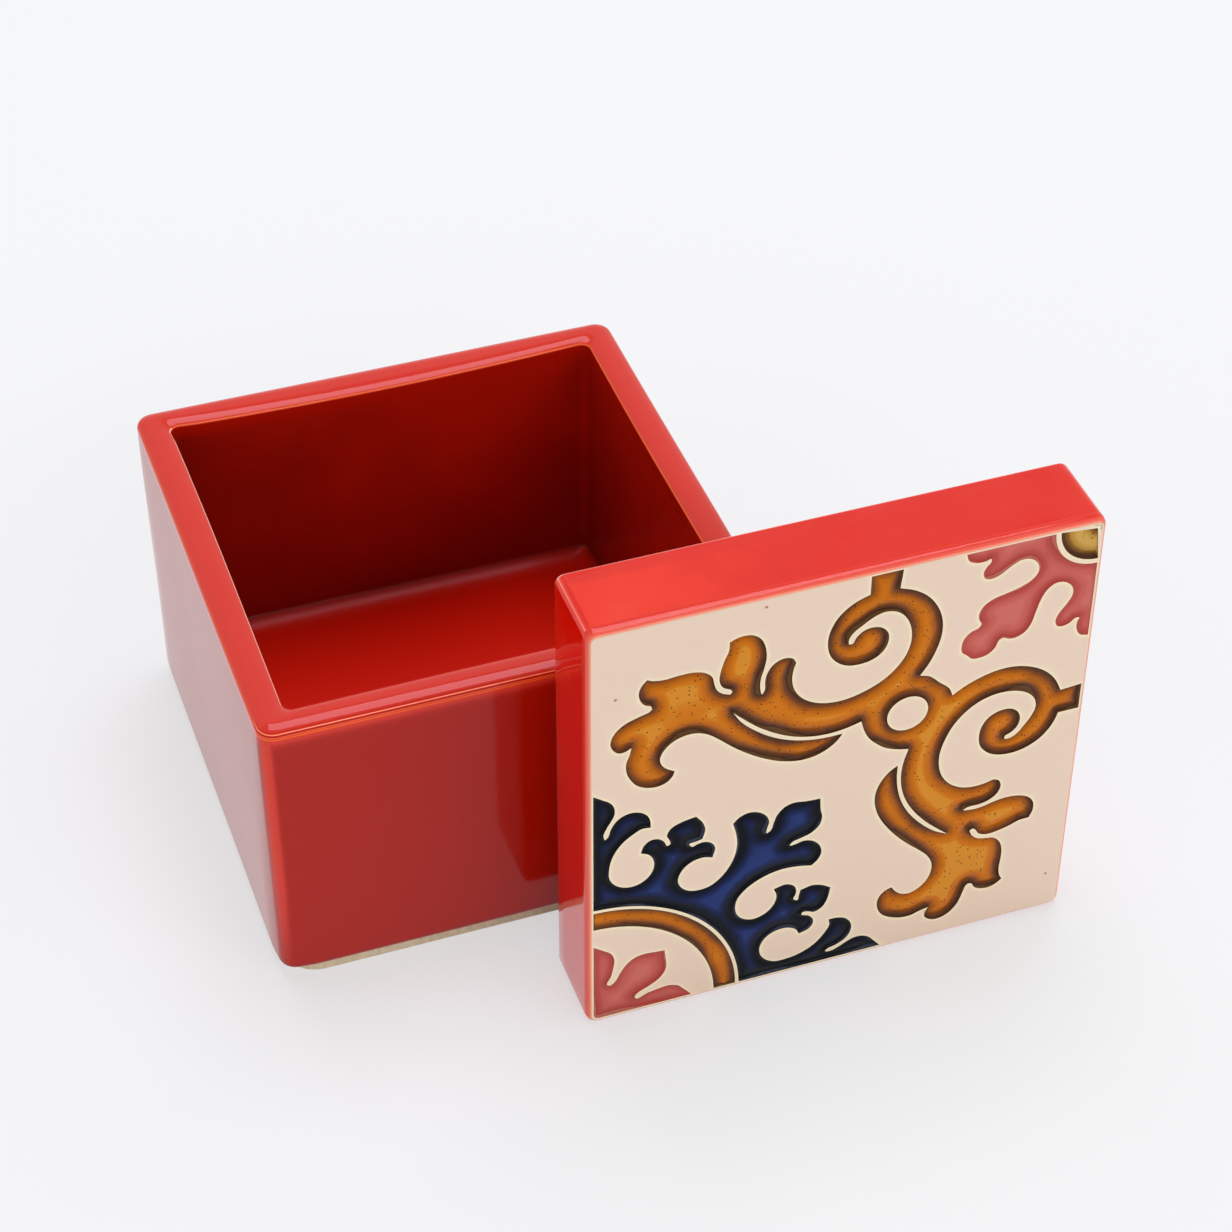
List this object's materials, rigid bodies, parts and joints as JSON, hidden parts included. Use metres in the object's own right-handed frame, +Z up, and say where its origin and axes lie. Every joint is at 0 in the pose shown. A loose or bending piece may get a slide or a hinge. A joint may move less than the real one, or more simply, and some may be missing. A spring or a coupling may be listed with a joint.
{
  "type": "ceramic box",
  "caption": "Square glazed earthenware box on a foot ring, with its lid off: a relief-tile lid with a locating rim stands on edge beside it.",
  "frame": {"origin": "on the table under the middle of the box, in the plane of the foot ring's underside", "axes": "+Z up; -Y towards the front, where the lid stands with its tile face outwards; +X to the right seen from the front"},
  "size_m": [0.2095, 0.1795, 0.137],
  "materials": {
    "red_glaze": "glossy translucent red glaze",
    "bare_clay": "matt bare earthenware",
    "cream_glaze": "glossy cream glaze",
    "ochre_glaze": "glossy ochre glaze, brown where thin",
    "blue_glaze": "glossy navy glaze",
    "pink_glaze": "glossy rose glaze"
  },
  "bodies": {
    "box": {"box_body": "red_glaze", "foot_ring": "bare_clay"},
    "lid": {"lid_body": "red_glaze", "tile_face": "cream_glaze", "ochre_scroll_glaze": "ochre_glaze", "blue_rosette_glaze": "blue_glaze", "ochre_arc_glaze": "ochre_glaze", "pink_leaf_glaze": "pink_glaze", "pink_spray_glaze": "pink_glaze", "ochre_disc_glaze": "ochre_glaze"}
  },
  "joints": [
    {"name": "lid_lift", "type": "slide", "parent": "box", "child": "lid", "axis": [0, 0, 1], "range_m": [0, 0.1]}
  ]
}
